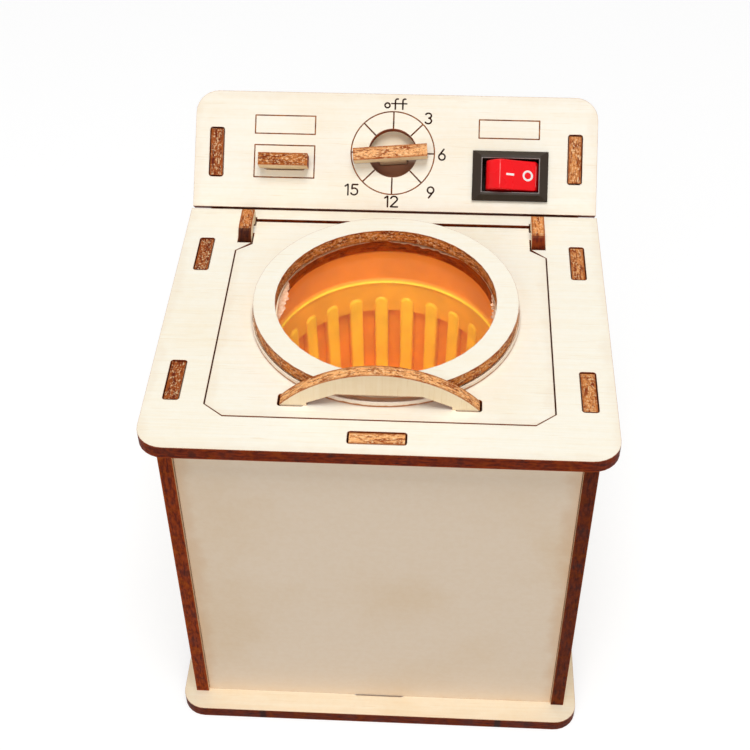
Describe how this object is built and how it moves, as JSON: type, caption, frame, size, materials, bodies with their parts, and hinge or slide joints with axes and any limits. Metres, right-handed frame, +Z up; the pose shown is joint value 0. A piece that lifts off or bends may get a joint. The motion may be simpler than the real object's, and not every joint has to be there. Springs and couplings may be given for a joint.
{
  "type": "washing machine model",
  "caption": "Plywood science kit model of a top-loading washing machine with a glazed hinged lid, a ribbed tub that a small motor spins, a rocker switch and a timer pointer.",
  "frame": {"origin": "centre of the base plate's underside", "axes": "+Z up, +Y from the front panel to the console at the back, +X to the right as seen from the front"},
  "size_m": [0.0808, 0.0876, 0.0929],
  "materials": {
    "plywood": "bare pale plywood, laser-cut edges burnt brown",
    "clear_sheet": "clear glossy acrylic sheet",
    "orange_plastic": "smooth moulded orange plastic",
    "white_plastic": "satin white plastic",
    "black_plastic": "satin black plastic",
    "red_plastic": "glossy red plastic with white marks",
    "steel": "plain bright steel",
    "brass": "plain stamped brass",
    "cell_jacket": "plain shrunk plastic jacket",
    "red_wire": "red insulation",
    "black_wire": "black insulation"
  },
  "bodies": {
    "case": {"base_plate": "plywood", "left_side_panel": "plywood", "right_side_panel": "plywood", "front_panel": "plywood", "back_panel": "plywood", "top_panel": "plywood", "tub_deck": "plywood", "motor_plate": "plywood", "motor_cradle": "plywood", "left_hinge_rail": "plywood", "right_hinge_rail": "plywood", "console_panel": "plywood", "drawer_pull": "plywood", "switch_housing": "black_plastic", "switch_tag_inner": "brass", "switch_tag_outer": "brass", "motor_can": "steel", "motor_end_cap": "white_plastic", "motor_tag_left": "brass", "motor_tag_right": "brass", "battery_box": "black_plastic", "cell_front": "cell_jacket", "cell_back": "cell_jacket", "cell_spring_front": "steel", "cell_spring_back": "steel", "contact_bridge": "brass", "contact_front": "brass", "contact_back": "brass", "box_screw_left": "steel", "box_screw_right": "steel", "supply_wire": "red_wire", "switched_wire": "red_wire", "return_wire": "black_wire"},
    "lid": {"lid_panel": "plywood", "lid_window": "clear_sheet", "lid_ring": "plywood", "lid_handle": "plywood"},
    "rocker": {"switch_rocker": "red_plastic"},
    "timer": {"timer_disc": "plywood", "timer_pointer": "plywood"},
    "tub": {"wash_tub": "orange_plastic", "tub_hub": "white_plastic", "motor_shaft": "steel"}
  },
  "joints": [
    {"name": "lid_hinge", "type": "hinge", "parent": "case", "child": "lid", "pos_m": [0, 0.0182, 0.07485], "axis": [-1, 0, 0], "range_deg": [0, 68]},
    {"name": "switch_rock", "type": "hinge", "parent": "case", "child": "rocker", "pos_m": [0.02305, 0.03167, 0.08023], "axis": [0, -0.7132, -0.7009], "range_deg": [0, 40]},
    {"name": "timer_turn", "type": "hinge", "parent": "case", "child": "timer", "pos_m": [-0.00045, 0.03333, 0.08453], "axis": [0, -0.7009, 0.7132], "continuous": true},
    {"name": "tub_spin", "type": "hinge", "parent": "case", "child": "tub", "pos_m": [0, -0.0064, 0.0368], "axis": [0, 0, 1], "continuous": true}
  ]
}
